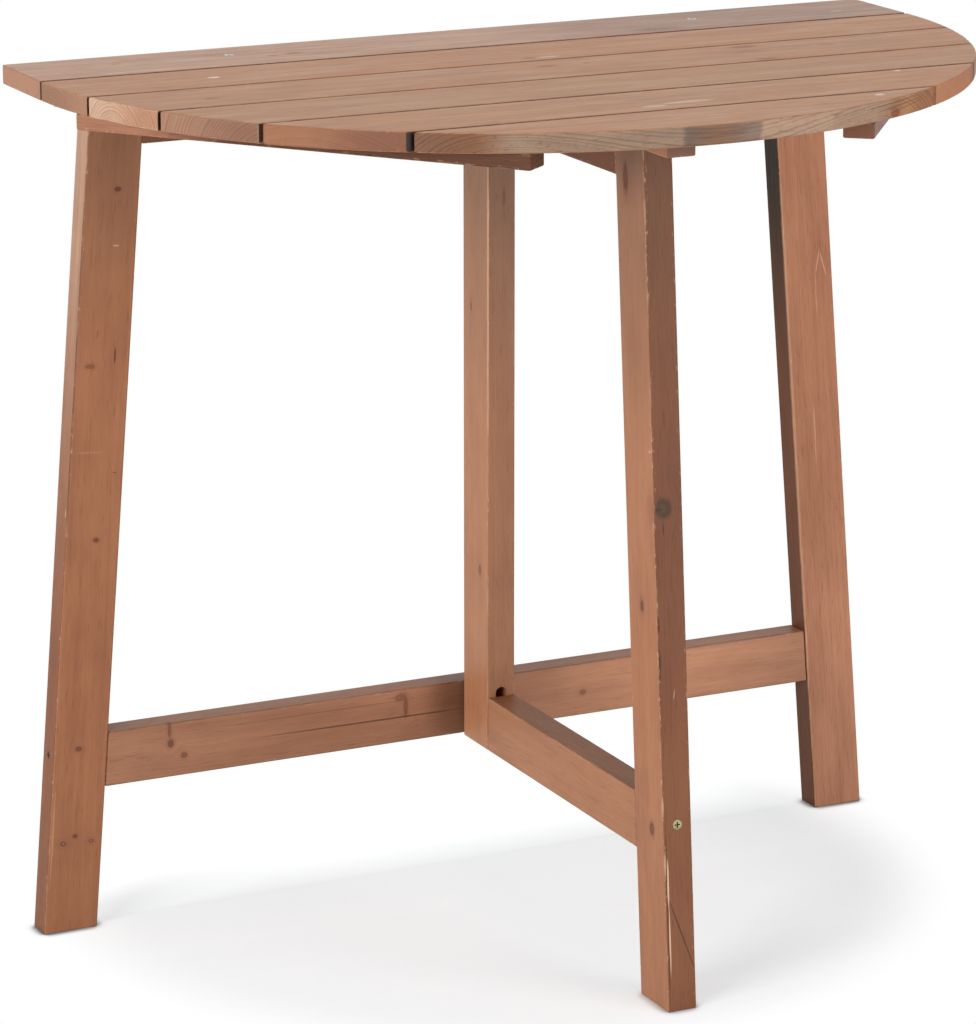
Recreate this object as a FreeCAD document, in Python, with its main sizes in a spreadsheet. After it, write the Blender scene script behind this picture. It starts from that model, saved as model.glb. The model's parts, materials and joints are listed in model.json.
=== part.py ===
import FreeCAD, Part
import math
import os
import re
import Sketcher

# Folding half-round table: a fixed slat on a splayed back frame, a half-round leaf hinged to it,
# and a gate that swings out under the leaf. Millimetres, +Z up, the front is -Y.
# The origin is on the floor under the middle of the top.

doc = FreeCAD.newDocument("FoldingTable")
sheet = doc.addObject("Spreadsheet::Sheet", "Dims")
derived = doc.addObject("App::FeaturePython", "Derived")
sub_parts = []

leaf_slat_count = 5
hinge_knuckle_count = 5
sides = (("left", -1), ("right", 1))

# Driving dimensions: alias, value, what it measures
driving = [
    ("top_width", 800, "straight back edge, and the diameter of the half circle"),
    ("table_height", 738, "floor to the top face"),
    ("slat_thickness", 16, "thickness of every top slat"),
    ("fixed_slat_depth", 87, "depth of the slat that doesn't move"),
    ("hinge_gap", 4, "gap between the fixed slat and the leaf"),
    ("nose_slat_depth", 70, "front slat of the leaf, back edge to the middle of the round edge"),
    ("slat_gap", 3, "gap between leaf slats"),
    ("edge_round", 1.5, "eased edges of the timber"),
    ("wall_overhang", 17, "top overhang behind the back legs"),
    ("leg_width", 48, "wide side of a back leg"),
    ("leg_thickness", 25, "narrow side of a back leg"),
    ("leg_splay", 4.75, "lean of all three legs, degrees"),
    ("rail_thickness", 23, "thickness of the frame's rails"),
    ("rail_height", 51, "height of the top rail and of the gate's rail"),
    ("stretcher_height", 48, "height of both low stretchers"),
    ("stretcher_bottom", 123.5, "floor to the underside of the stretchers"),
    ("tenon_thickness", 10, "thickness of the tenons"),
    ("tenon_length", 20, "length of the tenons"),
    ("tenon_shoulder", 6, "shoulder above and below a tenon"),
    ("mortise_clearance", 0.3, "play round a tenon"),
    ("mortise_overrun", 8, "slot that shows above the gate's stretcher"),
    ("shoulder_gap", 0.3, "gap between a shoulder and its leg"),
    ("gate_offset", 5, "gate's middle plane, right of centre"),
    ("gate_thickness", 26, "thickness of the gate's timber"),
    ("post_depth", 48, "wide side of the gate's post"),
    ("gate_leg_depth", 48, "wide side of the gate's leg"),
    ("gate_reach", 386, "hinge axis to the front of the gate's foot"),
    ("gate_top_clearance", 0.3, "gap between the gate and the leaf above it"),
    ("gate_hinge_overhang", 3, "gate's hinge axis beyond the side of the post"),
    ("leaf_hinge_inset", 32, "middle of a leaf hinge to the end of the top"),
    ("hinge_length", 40, "length of a butt hinge"),
    ("hinge_leaf_width", 18, "hinge axis to the free edge of a plate"),
    ("plate_thickness", 1.5, "hinge plate"),
    ("pin_diameter", 2.4, "hinge pin"),
    ("pin_clearance", 0.05, "radial play of the pin"),
    ("pin_head_thickness", 0.8, "riveted ends of the pin"),
    ("knuckle_gap", 0.3, "play between knuckles along the pin"),
    ("knuckle_relief", 0.3, "gap between a knuckle and the timber"),
    ("batten_width", 25, "width of the battens under the leaf"),
    ("batten_thickness", 13.5, "thickness of the battens"),
    ("batten_setback", 62, "hinge line to the outer back corner of a diagonal batten"),
    ("batten_turn", 38.5, "direction square to a diagonal batten, degrees from X"),
    ("batten_edge_margin", 1, "batten corners to the round edge"),
    ("centre_batten_setback", 12, "hinge line to the back end of the batten that stops the gate"),
    ("centre_batten_margin", 30, "its front end to the front of the leaf"),
    ("stop_clearance", 0.3, "gap between the gate and its stop"),
    ("frame_screw_head", 8, "head of a frame screw"),
    ("frame_screw_shank", 4.5, "shank of a frame screw"),
    ("frame_screw_length", 60, "length of a frame screw"),
    ("batten_screw_head", 7, "head of a batten screw"),
    ("batten_screw_shank", 3.5, "shank of a batten screw"),
    ("batten_screw_length", 24, "length of a batten screw"),
    ("hinge_screw_head", 5.4, "head of a hinge screw"),
    ("hinge_screw_shank", 2.6, "shank of a hinge screw"),
    ("hinge_screw_length", 13, "length of a hinge screw"),
    ("screw_clearance", 0.1, "play round a screw"),
    ("top_screw_spacing", 432, "distance between the screws in the fixed slat"),
    ("top_screw_forward", 7.5, "top screws in front of the rail's middle"),
    ("cut_overrun", 4, "how far a cutter reaches past a face"),
]

# Values worked out from the driving dimensions
worked_out = [
    ("half_width", "top_width / 2"),
    ("slat_pitch", "(half_width - hinge_gap / 2 - nose_slat_depth) / %d" % (leaf_slat_count - 1)),
    ("slat_width", "slat_pitch - slat_gap"),
    ("hinge_line_depth", "fixed_slat_depth + hinge_gap / 2"),
    ("back_y", "(hinge_line_depth + half_width) / 2"),
    ("hinge_line_y", "back_y - hinge_line_depth"),
    ("underside", "table_height - slat_thickness"),
    ("slope", "tan(leg_splay)"),
    ("foot_inner_x", "half_width - leg_width / cos(leg_splay)"),
    ("frame_mid_y", "back_y - wall_overhang - leg_thickness / 2"),
    ("rail_front_y", "frame_mid_y - rail_thickness / 2"),
    ("rail_bottom", "underside - rail_height"),
    ("stretcher_top", "stretcher_bottom + stretcher_height"),
    ("mortise_width", "tenon_thickness + 2 * mortise_clearance"),
    ("knuckle_radius", "pin_diameter / 2 + plate_thickness"),
    ("knuckle_length", "hinge_length / %d" % hinge_knuckle_count),
    ("hinge_offset", "knuckle_radius + knuckle_relief"),
    ("gate_axis_x", "gate_offset + gate_thickness / 2 + gate_hinge_overhang"),
    ("gate_axis_y", "rail_front_y - hinge_offset"),
    ("post_back_y", "gate_axis_y - hinge_offset"),
    ("post_front_y", "post_back_y - post_depth"),
    ("gate_top", "underside - gate_top_clearance"),
    ("gate_foot_front_y", "gate_axis_y - gate_reach"),
    ("gate_foot_back_y", "gate_foot_front_y + gate_leg_depth / cos(leg_splay)"),
    ("leaf_axis_z", "underside - hinge_offset"),
    ("leaf_hinge_x", "half_width - leaf_hinge_inset"),
    ("batten_bottom", "underside - batten_thickness"),
    ("batten_corner_radius", "half_width - batten_edge_margin"),
    ("batten_corner_x", "sqrt(batten_corner_radius ^ 2 - batten_setback ^ 2)"),
    ("batten_length", "2 * (batten_corner_x * sin(batten_turn) - batten_setback * cos(batten_turn))"),
    ("batten_distance", "sqrt(batten_corner_radius ^ 2 - (batten_length / 2) ^ 2) - batten_width / 2"),
    ("centre_batten_length", "half_width - centre_batten_margin - centre_batten_setback"),
    ("centre_batten_x", "gate_offset - gate_thickness / 2 - stop_clearance - batten_width / 2"),
    ("centre_batten_front_y", "hinge_line_y - half_width + centre_batten_margin"),
]

# Places and proportions of small things, as shares of the piece that carries them
rail_screw_height_share = 0.66
batten_screw_shares = (0.3, 0.7)
lone_screw_shares = (0.5,)
paired_crossing_share = 4.0
least_crossing_share = 2.0
plate_screw_shares = ((-0.34, 0.68), (0.0, 0.42), (0.34, 0.68))
recess_length_share = 0.62
recess_width_share = 0.13
recess_depth_share = 0.16
screw_tip_share = 1.2
pin_head_share = 0.85

owner = {}
for row, (alias, value, meaning) in enumerate(driving, 1):
    sheet.set("A%d" % row, meaning)
    sheet.set("B%d" % row, str(value))
    sheet.setAlias("B%d" % row, alias)
    owner[alias] = "Dims."
doc.recompute()


def formula(text):
    # Plain names become references to the sheet or to the worked-out values
    return re.sub(r"[a-z][a-z_]+", lambda word: owner.get(word.group(), "") + word.group(), text)


def bind(feature, **formulas):
    for name, text in formulas.items():
        feature.setExpression(name.replace("__", "."), formula(text))


for alias, text in worked_out:
    derived.addProperty("App::PropertyFloat", alias)
    derived.setExpression(alias, formula(text))
    owner[alias] = "Derived."
doc.recompute()


def size(text):
    # What a named size or a formula in them comes to
    return float(derived.evalExpression(formula(text)))


def vector(x, y, z):
    return FreeCAD.Vector(x, y, z)


def frame_of(origin, x_axis, y_axis):
    # Placement with its own X and Y along the given directions
    z_axis = x_axis.cross(y_axis)
    return FreeCAD.Placement(origin, FreeCAD.Rotation(x_axis, y_axis, z_axis, "ZXY"))


def new_body(label, sub_part=True):
    body = doc.addObject("PartDesign::Body", label)
    body.Label = label
    if sub_part:
        sub_parts.append(body)
    return body


def new_sketch(body, plane):
    sketch = body.newObject("Sketcher::SketchObject", body.Name + "_outline")
    support = [item for item in body.Origin.OriginFeatures if item.Role == plane + "_Plane"]
    sketch.AttachmentSupport = [(support[0], "")]
    sketch.MapMode = "FlatFace"
    return sketch


def pin_point(sketch, item, end, x=None, y=None):
    # A point held at formulas for its distances from the sketch's origin
    for kind, text in (("DistanceX", x), ("DistanceY", y)):
        if text is not None:
            number = sketch.addConstraint(Sketcher.Constraint(kind, -1, 1, item, end, size(text)))
            sketch.setExpression("Constraints[%d]" % number, formula(text))


def polygon(body, plane, points):
    sketch = new_sketch(body, plane)
    count = len(points)
    turns = [2 * math.pi * i / count for i in range(count + 1)]
    corners = [vector(math.cos(turn), math.sin(turn), 0) for turn in turns]
    for i in range(count):
        sketch.addGeometry(Part.LineSegment(corners[i], corners[i + 1]))
    for i in range(count):
        sketch.addConstraint(Sketcher.Constraint("Coincident", i, 2, (i + 1) % count, 1))
    for i, (x, y) in enumerate(points):
        pin_point(sketch, i, 1, x, y)
    return sketch


def pad(body, sketch, length, middle=True):
    feature = body.newObject("PartDesign::Pad", body.Name + "_pad")
    feature.Profile = sketch
    feature.Midplane = middle
    bind(feature, Length=length)
    return feature


def solid(body, kind, turn=None, **formulas):
    # A box, cylinder or cone added to the body or taken from it, with its sizes and place bound
    feature = body.newObject("PartDesign::" + kind, body.Name + "_" + kind.lower())
    if turn is not None:
        feature.Placement = FreeCAD.Placement(vector(0, 0, 0), turn)
    bind(feature, **formulas)
    return feature


def bar(body, corner, lengths):
    x, y, z = corner
    bind(body, Placement__Base__x=x, Placement__Base__y=y, Placement__Base__z=z)
    return solid(body, "AdditiveBox", Length=lengths[0], Width=lengths[1], Height=lengths[2])


def ease_edges(body, wanted=None):
    doc.recompute()
    base = body.Tip
    edges = enumerate(base.Shape.Edges, 1)
    names = ["Edge%d" % i for i, edge in edges if wanted is None or wanted(edge)]
    feature = body.newObject("PartDesign::Fillet", body.Name + "_eased")
    feature.Base = (base, names)
    bind(feature, Radius="edge_round")
    doc.recompute()


def is_level(edge):
    ends = [vertex.Point for vertex in edge.Vertexes]
    return abs(ends[0].z - ends[-1].z) < size("slat_thickness") / 2


def routed_slot(body, axis, start, length, low, high):
    # A mortise with round ends, from start along the axis, in a body whose middle plane is at zero
    straight = "(%s) - (%s)" % (high, low)
    if axis == "x":
        turn = FreeCAD.Rotation(vector(0, 1, 0), 90)
        solid(body, "SubtractiveBox", Length=length, Width="mortise_width", Height=straight,
              Placement__Base__x=start, Placement__Base__y="-mortise_width / 2", Placement__Base__z=low)
        ends = dict(Placement__Base__x=start)
    else:
        turn = FreeCAD.Rotation(vector(1, 0, 0), -90)
        solid(body, "SubtractiveBox", Length="mortise_width", Width=length, Height=straight,
              Placement__Base__x="-mortise_width / 2", Placement__Base__y=start, Placement__Base__z=low)
        ends = dict(Placement__Base__y=start)
    for level in (low, high):
        solid(body, "SubtractiveCylinder", turn, Radius="mortise_width / 2", Height=length,
              Placement__Base__z=level, **ends)


# Screws: a master of each kind, whose head's top is its origin and whose shank points down

def screw_master(kind):
    body = new_body(kind + "_screw", sub_part=False)
    head, shank, length = (kind + "_screw_" + word for word in ("head", "shank", "length"))
    tip = "%s * %s" % (shank, screw_tip_share)
    sketch = polygon(body, "XZ", [
        ("0", "0"),
        (head + " / 2", "0"),
        (shank + " / 2", "(%s - %s) / 2" % (shank, head)),
        (shank + " / 2", "%s - %s" % (tip, length)),
        ("0", "-" + length)])
    turned = body.newObject("PartDesign::Revolution", body.Name + "_turned")
    turned.Profile = sketch
    turned.ReferenceAxis = (sketch, ["V_Axis"])
    long_side = "%s * %s" % (head, recess_length_share)
    short_side = "%s * %s" % (head, recess_width_share)
    deep = "%s * %s" % (head, recess_depth_share)
    for across, along in ((long_side, short_side), (short_side, long_side)):
        solid(body, "SubtractiveBox", Length=across, Width=along, Height=deep,
              Placement__Base__x="-(%s) / 2" % across,
              Placement__Base__y="-(%s) / 2" % along,
              Placement__Base__z="-(%s)" % deep)
    doc.recompute()
    return body


screws = {kind: screw_master(kind) for kind in ("frame", "batten", "hinge")}


def drill(body, kind, places):
    # Countersunk holes for screws, from the same sizes and places
    head, shank, length = (kind + "_screw_" + word for word in ("head", "shank", "length"))
    doc.recompute()
    for place in places:
        local = body.Placement.inverse().multiply(place)
        hole = solid(body, "SubtractiveCylinder", Radius=shank + " / 2 + screw_clearance",
                     Height=length + " + screw_clearance")
        depth = size(length) + size("screw_clearance")
        hole.Placement = local.multiply(FreeCAD.Placement(vector(0, 0, -depth), FreeCAD.Rotation()))
        sink = solid(body, "SubtractiveCone", Radius1=shank + " / 2 + screw_clearance",
                     Radius2=head + " / 2 + screw_clearance", Height="(%s - %s) / 2" % (head, shank))
        height = (size(head) - size(shank)) / 2
        sink.Placement = local.multiply(FreeCAD.Placement(vector(0, 0, -height), FreeCAD.Rotation()))
    doc.recompute()


def screw_group(label, kind, places):
    copies = []
    for place in places:
        copy = screws[kind].Shape.copy()
        copy.Placement = place
        copies.append(copy)
    group = doc.addObject("Part::Feature", label)
    group.Label = label
    group.Shape = Part.makeCompound(copies)
    sub_parts.append(group)


# Frame: two splayed legs, a top rail and a stretcher between them

def leg_face(level):
    return "(foot_inner_x - (%s) * slope)" % level


def tenon_ends(low, high):
    return low + " + tenon_shoulder", high + " - tenon_shoulder"


rail_levels = {"top_rail": ("rail_bottom", "underside"),
               "back_stretcher": ("stretcher_bottom", "stretcher_top")}

legs = {}
for side, sign in sides:
    leg = new_body(side + "_leg")
    lean = "underside * slope"
    sketch = polygon(leg, "XZ", [
        ("%d * half_width" % sign, "0"),
        ("%d * foot_inner_x" % sign, "0"),
        ("%d * (foot_inner_x - %s)" % (sign, lean), "underside"),
        ("%d * (half_width - %s)" % (sign, lean), "underside")])
    pad(leg, sketch, "leg_thickness")
    bind(leg, Placement__Base__y="frame_mid_y")
    ease_edges(leg)
    for low, high in rail_levels.values():
        tenon_low, tenon_high = tenon_ends(low, high)
        depth = "(tenon_length + mortise_clearance + cut_overrun)"
        mouth = "(%s - cut_overrun)" % leg_face(tenon_low)
        start = mouth if sign > 0 else "-(%s + %s)" % (mouth, depth)
        routed_slot(leg, "x", start, depth,
                    tenon_low + " - mortise_clearance", tenon_high + " + mortise_clearance")
    legs[side] = leg

rails = {}
for label, (low, high) in rail_levels.items():
    rail = new_body(label)
    ends = ["(%s - shoulder_gap)" % leg_face(level) for level in (low, high)]
    pad(rail, polygon(rail, "XZ", [("-" + ends[0], low), (ends[0], low),
                                   (ends[1], high), ("-" + ends[1], high)]), "rail_thickness")
    bind(rail, Placement__Base__y="frame_mid_y")
    ease_edges(rail)
    tenon_low, tenon_high = tenon_ends(low, high)
    ends = ["(%s + tenon_length)" % leg_face(level) for level in (tenon_low, tenon_high)]
    pad(rail, polygon(rail, "XZ", [("-" + ends[0], tenon_low), (ends[0], tenon_low),
                                   (ends[1], tenon_high), ("-" + ends[1], tenon_high)]), "tenon_thickness")
    rails[label] = rail
doc.recompute()


def screw_level(low, high):
    return size(low) + rail_screw_height_share * (size(high) - size(low))


splay = math.radians(size("leg_splay"))
leg_screw_places = []
for side, sign in sides:
    for label, (low, high) in rail_levels.items():
        level = screw_level(low, high)
        head = vector(sign * (size("half_width") - level * size("slope")), size("frame_mid_y"), level)
        outward = vector(sign * math.cos(splay), 0, math.sin(splay))
        place = frame_of(head, vector(0, 1, 0), outward.cross(vector(0, 1, 0)))
        leg_screw_places.append(place)
        drill(legs[side], "frame", [place])
        drill(rails[label], "frame", [place])
screw_group("leg_screws", "frame", leg_screw_places)

# Top: the fixed slat, then the leaf's slats, cut to the half circle round the hinge line

fixed_slat = new_body("fixed_slat")
bar(fixed_slat, ("-half_width", "back_y - fixed_slat_depth", "underside"),
    ("top_width", "fixed_slat_depth", "slat_thickness"))
ease_edges(fixed_slat)

top_screw_places = []
for side, sign in sides:
    head = vector(sign * size("top_screw_spacing") / 2,
                  size("frame_mid_y") - size("top_screw_forward"), size("table_height"))
    top_screw_places.append(FreeCAD.Placement(head, FreeCAD.Rotation()))
drill(fixed_slat, "frame", top_screw_places)
drill(rails["top_rail"], "frame", top_screw_places)
screw_group("top_screws", "frame", top_screw_places)


def round_end(sketch, start, finish, centre_y, radius):
    # An arc about the hinge line's middle
    circle = Part.Circle(vector(0, centre_y, 0), vector(0, 0, 1), radius)
    item = sketch.addGeometry(Part.ArcOfCircle(circle, start, finish))
    sketch.addConstraint(Sketcher.Constraint("PointOnObject", item, 3, -2))
    pin_point(sketch, item, 3, y="hinge_line_y")
    number = sketch.addConstraint(Sketcher.Constraint("Radius", item, radius))
    sketch.setExpression("Constraints[%d]" % number, formula("half_width"))
    return item


def slat_depth(index):
    # Back and front of a leaf slat, measured from the hinge line
    back = "hinge_gap / 2 + %d * slat_pitch" % index
    front = back + " + slat_width" if index < leaf_slat_count - 1 else "half_width"
    return back, front


slats = []
for index in range(leaf_slat_count):
    slat = new_body("leaf_slat_%d" % (index + 1))
    back, front = slat_depth(index)
    back_reach, front_reach = size(back), size(front)
    radius, centre_y = size("half_width"), size("hinge_line_y")
    sketch = new_sketch(slat, "XY")
    back_turn = math.asin(back_reach / radius)
    front_turn = math.asin(front_reach / radius)
    back_x, front_x = radius * math.cos(back_turn), radius * math.cos(front_turn)
    back_edge = sketch.addGeometry(Part.LineSegment(vector(-back_x, centre_y - back_reach, 0),
                                                    vector(back_x, centre_y - back_reach, 0)))
    sketch.addConstraint(Sketcher.Constraint("Horizontal", back_edge))
    pin_point(sketch, back_edge, 1, y="hinge_line_y - (%s)" % back)
    if index < leaf_slat_count - 1:
        front_edge = sketch.addGeometry(Part.LineSegment(vector(-front_x, centre_y - front_reach, 0),
                                                         vector(front_x, centre_y - front_reach, 0)))
        sketch.addConstraint(Sketcher.Constraint("Horizontal", front_edge))
        pin_point(sketch, front_edge, 1, y="hinge_line_y - (%s)" % front)
        left = round_end(sketch, math.pi + back_turn, math.pi + front_turn, centre_y, radius)
        right = round_end(sketch, -front_turn, -back_turn, centre_y, radius)
        joined = ((back_edge, 1, left, 1), (front_edge, 1, left, 2),
                  (back_edge, 2, right, 2), (front_edge, 2, right, 1))
    else:
        nose = round_end(sketch, math.pi + back_turn, 2 * math.pi - back_turn, centre_y, radius)
        joined = ((back_edge, 1, nose, 1), (back_edge, 2, nose, 2))
    for ends in joined:
        sketch.addConstraint(Sketcher.Constraint("Coincident", *ends))
    pad(slat, sketch, "slat_thickness", middle=False)
    bind(slat, Placement__Base__z="underside")
    ease_edges(slat, is_level)
    slats.append(slat)

# Battens under the leaf: two diagonals that clear the gate's swing, and one that stops the gate

turn = math.radians(size("batten_turn"))


def batten_screw_places(start, finish):
    # Screws up into each slat that the batten crosses, along its middle line from back to front:
    # a pair in a long crossing, one in a short one and none in a sliver, in heads of the screw
    places = []
    crossings = []
    slant = (finish - start).Length / (start.y - finish.y)
    for index in range(leaf_slat_count):
        back_reach, front_reach = slat_depth(index)
        back = min(size("hinge_line_y") - size(back_reach), start.y)
        front = max(size("hinge_line_y") - size(front_reach), finish.y)
        heads = (back - front) * slant / size("batten_screw_head")
        shares = batten_screw_shares if heads > paired_crossing_share else lone_screw_shares
        if heads < least_crossing_share:
            shares = ()
        for share in shares:
            level = back + share * (front - back)
            along = (start.y - level) / (start.y - finish.y)
            point = start + (finish - start) * along
            places.append(frame_of(point, vector(1, 0, 0), vector(0, -1, 0)))
            crossings.append(slats[index])
    return places, crossings


def add_batten(name, batten, start, finish):
    ease_edges(batten)
    places, crossings = batten_screw_places(start, finish)
    drill(batten, "batten", places)
    for place, slat in zip(places, crossings):
        drill(slat, "batten", [place])
    screw_group(name + "_screws", "batten", places)


for side, sign in sides:
    batten = new_body(side + "_batten")
    solid(batten, "AdditiveBox", Length="batten_length", Width="batten_width", Height="batten_thickness",
          Placement__Base__x="-batten_length / 2", Placement__Base__y="-batten_width / 2")
    away = vector(sign * math.cos(turn), -math.sin(turn), 0)
    along = vector(sign * math.sin(turn), math.cos(turn), 0)
    middle = vector(0, size("hinge_line_y"), size("batten_bottom")) + away * size("batten_distance")
    batten.Placement = frame_of(middle, along, vector(0, 0, 1).cross(along))
    half = along * (size("batten_length") / 2)
    add_batten(side + "_batten", batten, middle + half, middle - half)

centre_batten = new_body("centre_batten")
bar(centre_batten, ("centre_batten_x - batten_width / 2", "centre_batten_front_y", "batten_bottom"),
    ("batten_width", "centre_batten_length", "batten_thickness"))
front_end = vector(size("centre_batten_x"), size("centre_batten_front_y"), size("batten_bottom"))
back_end = front_end + vector(0, size("centre_batten_length"), 0)
add_batten("centre_batten", centre_batten, back_end, front_end)

# Gate: an upright post, a leaning leg, and a rail and a stretcher tenoned between them

gate_levels = {"gate_rail": ("rail_bottom", "gate_top"),
               "gate_stretcher": ("stretcher_bottom", "stretcher_top")}


def gate_leg_face(level):
    return "(gate_foot_back_y + (%s) * slope)" % level


gate_post = new_body("gate_post")
solid(gate_post, "AdditiveBox", Length="gate_thickness", Width="post_depth",
      Height="gate_top - stretcher_bottom", Placement__Base__x="-gate_thickness / 2",
      Placement__Base__y="post_front_y", Placement__Base__z="stretcher_bottom")
bind(gate_post, Placement__Base__x="gate_offset")
ease_edges(gate_post)

gate_leg = new_body("gate_leg")
lean = "gate_top * slope"
pad(gate_leg, polygon(gate_leg, "YZ", [
    ("gate_foot_front_y", "0"),
    ("gate_foot_back_y", "0"),
    ("gate_foot_back_y + " + lean, "gate_top"),
    ("gate_foot_front_y + " + lean, "gate_top")]), "gate_thickness")
bind(gate_leg, Placement__Base__x="gate_offset")
ease_edges(gate_leg)

gate_bars = {}
for label, (low, high) in gate_levels.items():
    tenon_low, tenon_high = tenon_ends(low, high)
    slot_low = tenon_low + " - mortise_clearance"
    slot_high = tenon_high + " + mortise_clearance"
    post_slot_high = slot_high
    if label == "gate_stretcher":
        post_slot_high = "stretcher_top + mortise_overrun - mortise_width / 2"
    depth = "(tenon_length + mortise_clearance + cut_overrun)"
    routed_slot(gate_post, "y", "post_front_y - cut_overrun", depth, slot_low, post_slot_high)
    bottom = "(%s - tenon_length - mortise_clearance)" % gate_leg_face(tenon_low)
    routed_slot(gate_leg, "y", bottom, depth, slot_low, slot_high)

    crossbar = new_body(label)
    pad(crossbar, polygon(crossbar, "YZ", [
        (gate_leg_face(low) + " + shoulder_gap", low),
        ("post_front_y - shoulder_gap", low),
        ("post_front_y - shoulder_gap", high),
        (gate_leg_face(high) + " + shoulder_gap", high)]), "gate_thickness")
    bind(crossbar, Placement__Base__x="gate_offset")
    ease_edges(crossbar)
    pad(crossbar, polygon(crossbar, "YZ", [
        (gate_leg_face(tenon_low) + " - tenon_length", tenon_low),
        ("post_front_y + tenon_length", tenon_low),
        ("post_front_y + tenon_length", tenon_high),
        (gate_leg_face(tenon_high) + " - tenon_length", tenon_high)]), "tenon_thickness")
    gate_bars[label] = crossbar
doc.recompute()

gate_screw_places = []
for label, (low, high) in gate_levels.items():
    level = screw_level(low, high)
    head = vector(size("gate_offset"), size("gate_foot_front_y") + level * size("slope"), level)
    outward = vector(0, -math.cos(splay), math.sin(splay))
    place = frame_of(head, vector(1, 0, 0), outward.cross(vector(1, 0, 0)))
    gate_screw_places.append(place)
    drill(gate_leg, "frame", [place])
    drill(gate_bars[label], "frame", [place])
screw_group("gate_screws", "frame", gate_screw_places)

# Butt hinges, drawn with the axis along Z and the plate towards -X, its outer face towards +Y

fixed_knuckles = range(0, hinge_knuckle_count, 2)
moving_knuckles = range(1, hinge_knuckle_count, 2)


def plate_screw_places(place):
    places = []
    for length_share, width_share in plate_screw_shares:
        head = vector(-width_share * size("hinge_leaf_width"),
                      size("hinge_offset") - size("plate_thickness"),
                      length_share * size("hinge_length"))
        local = frame_of(head, vector(1, 0, 0), vector(0, 0, 1))
        places.append(place.multiply(local))
    return places


def hinge_plate(label, place, own_knuckles, timber):
    plate = new_body(label)
    solid(plate, "AdditiveBox", Length="hinge_leaf_width", Width="plate_thickness", Height="hinge_length",
          Placement__Base__x="-hinge_leaf_width", Placement__Base__y="hinge_offset - plate_thickness",
          Placement__Base__z="-hinge_length / 2")
    for knuckle in range(hinge_knuckle_count):
        low = "%d * knuckle_length - hinge_length / 2" % knuckle
        if knuckle in own_knuckles:
            solid(plate, "AdditiveCylinder", Radius="knuckle_radius", Height="knuckle_length - knuckle_gap",
                  Placement__Base__z=low + " + knuckle_gap / 2")
        else:
            notch = "hinge_offset + knuckle_gap"
            solid(plate, "SubtractiveBox", Length=notch + " + cut_overrun",
                  Width="2 * (%s)" % notch, Height="knuckle_length",
                  Placement__Base__x="-(%s)" % notch, Placement__Base__y="-(%s)" % notch,
                  Placement__Base__z=low)
    solid(plate, "SubtractiveCylinder", Radius="pin_diameter / 2 + pin_clearance",
          Height="hinge_length + 2 * cut_overrun", Placement__Base__z="-hinge_length / 2 - cut_overrun")
    plate.Placement = place
    places = plate_screw_places(place)
    drill(plate, "hinge", places)
    drill(timber, "hinge", places)
    return places


def hinge_pin(label, place):
    pin = new_body(label)
    solid(pin, "AdditiveCylinder", Radius="pin_diameter / 2", Height="hinge_length",
          Placement__Base__z="-hinge_length / 2")
    for low in ("hinge_length / 2", "-hinge_length / 2 - pin_head_thickness"):
        solid(pin, "AdditiveCylinder", Radius="knuckle_radius * %s" % pin_head_share,
              Height="pin_head_thickness", Placement__Base__z=low)
    pin.Placement = place


frame_hinge_places = []
leaf_hinge_places = []
gate_hinge_places = []

for side, sign in sides:
    name = side + "_leaf_hinge_"
    axis = vector(sign * size("leaf_hinge_x"), size("hinge_line_y"), size("leaf_axis_z"))
    fixed_place = frame_of(axis, vector(0, -1, 0), vector(0, 0, 1))
    moving_place = frame_of(axis, vector(0, 1, 0), vector(0, 0, 1))
    frame_hinge_places += hinge_plate(name + "fixed_plate", fixed_place, fixed_knuckles, fixed_slat)
    leaf_hinge_places += hinge_plate(name + "moving_plate", moving_place, moving_knuckles, slats[0])
    hinge_pin(name + "pin", fixed_place)

gate_hinge_timber = {"upper": ("top_rail", "rail_bottom", "gate_top"),
                     "lower": ("back_stretcher", "stretcher_bottom", "stretcher_top")}
for level, (rail, low, high) in gate_hinge_timber.items():
    name = level + "_gate_hinge_"
    axis = vector(size("gate_axis_x"), size("gate_axis_y"), (size(low) + size(high)) / 2)
    fixed_place = frame_of(axis, vector(1, 0, 0), vector(0, 1, 0))
    moving_place = frame_of(axis, vector(1, 0, 0), vector(0, -1, 0))
    frame_hinge_places += hinge_plate(name + "fixed_plate", fixed_place, fixed_knuckles, rails[rail])
    gate_hinge_places += hinge_plate(name + "moving_plate", moving_place, moving_knuckles, gate_post)
    hinge_pin(name + "pin", fixed_place)

screw_group("frame_hinge_screws", "hinge", frame_hinge_places)
screw_group("leaf_hinge_screws", "hinge", leaf_hinge_places)
screw_group("gate_hinge_screws", "hinge", gate_hinge_places)

# Checks, then one file for each sub-part

doc.recompute()
for item in doc.Objects:
    if "Invalid" in item.State or "Error" in item.State:
        raise RuntimeError("failed to build: " + item.Name)
for part in sub_parts:
    if part.Shape.isNull() or not part.Shape.isValid():
        raise RuntimeError("bad shape: " + part.Label)

os.makedirs("parts", exist_ok=True)
for part in sub_parts:
    part.Shape.exportStep(os.path.join("parts", part.Label + ".step"))
    print(part.Label, len(part.Shape.Solids), round(part.Shape.Volume))
print("pieces:", len(sub_parts), "solids:", sum(len(part.Shape.Solids) for part in sub_parts))
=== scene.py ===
import json
import math

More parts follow.
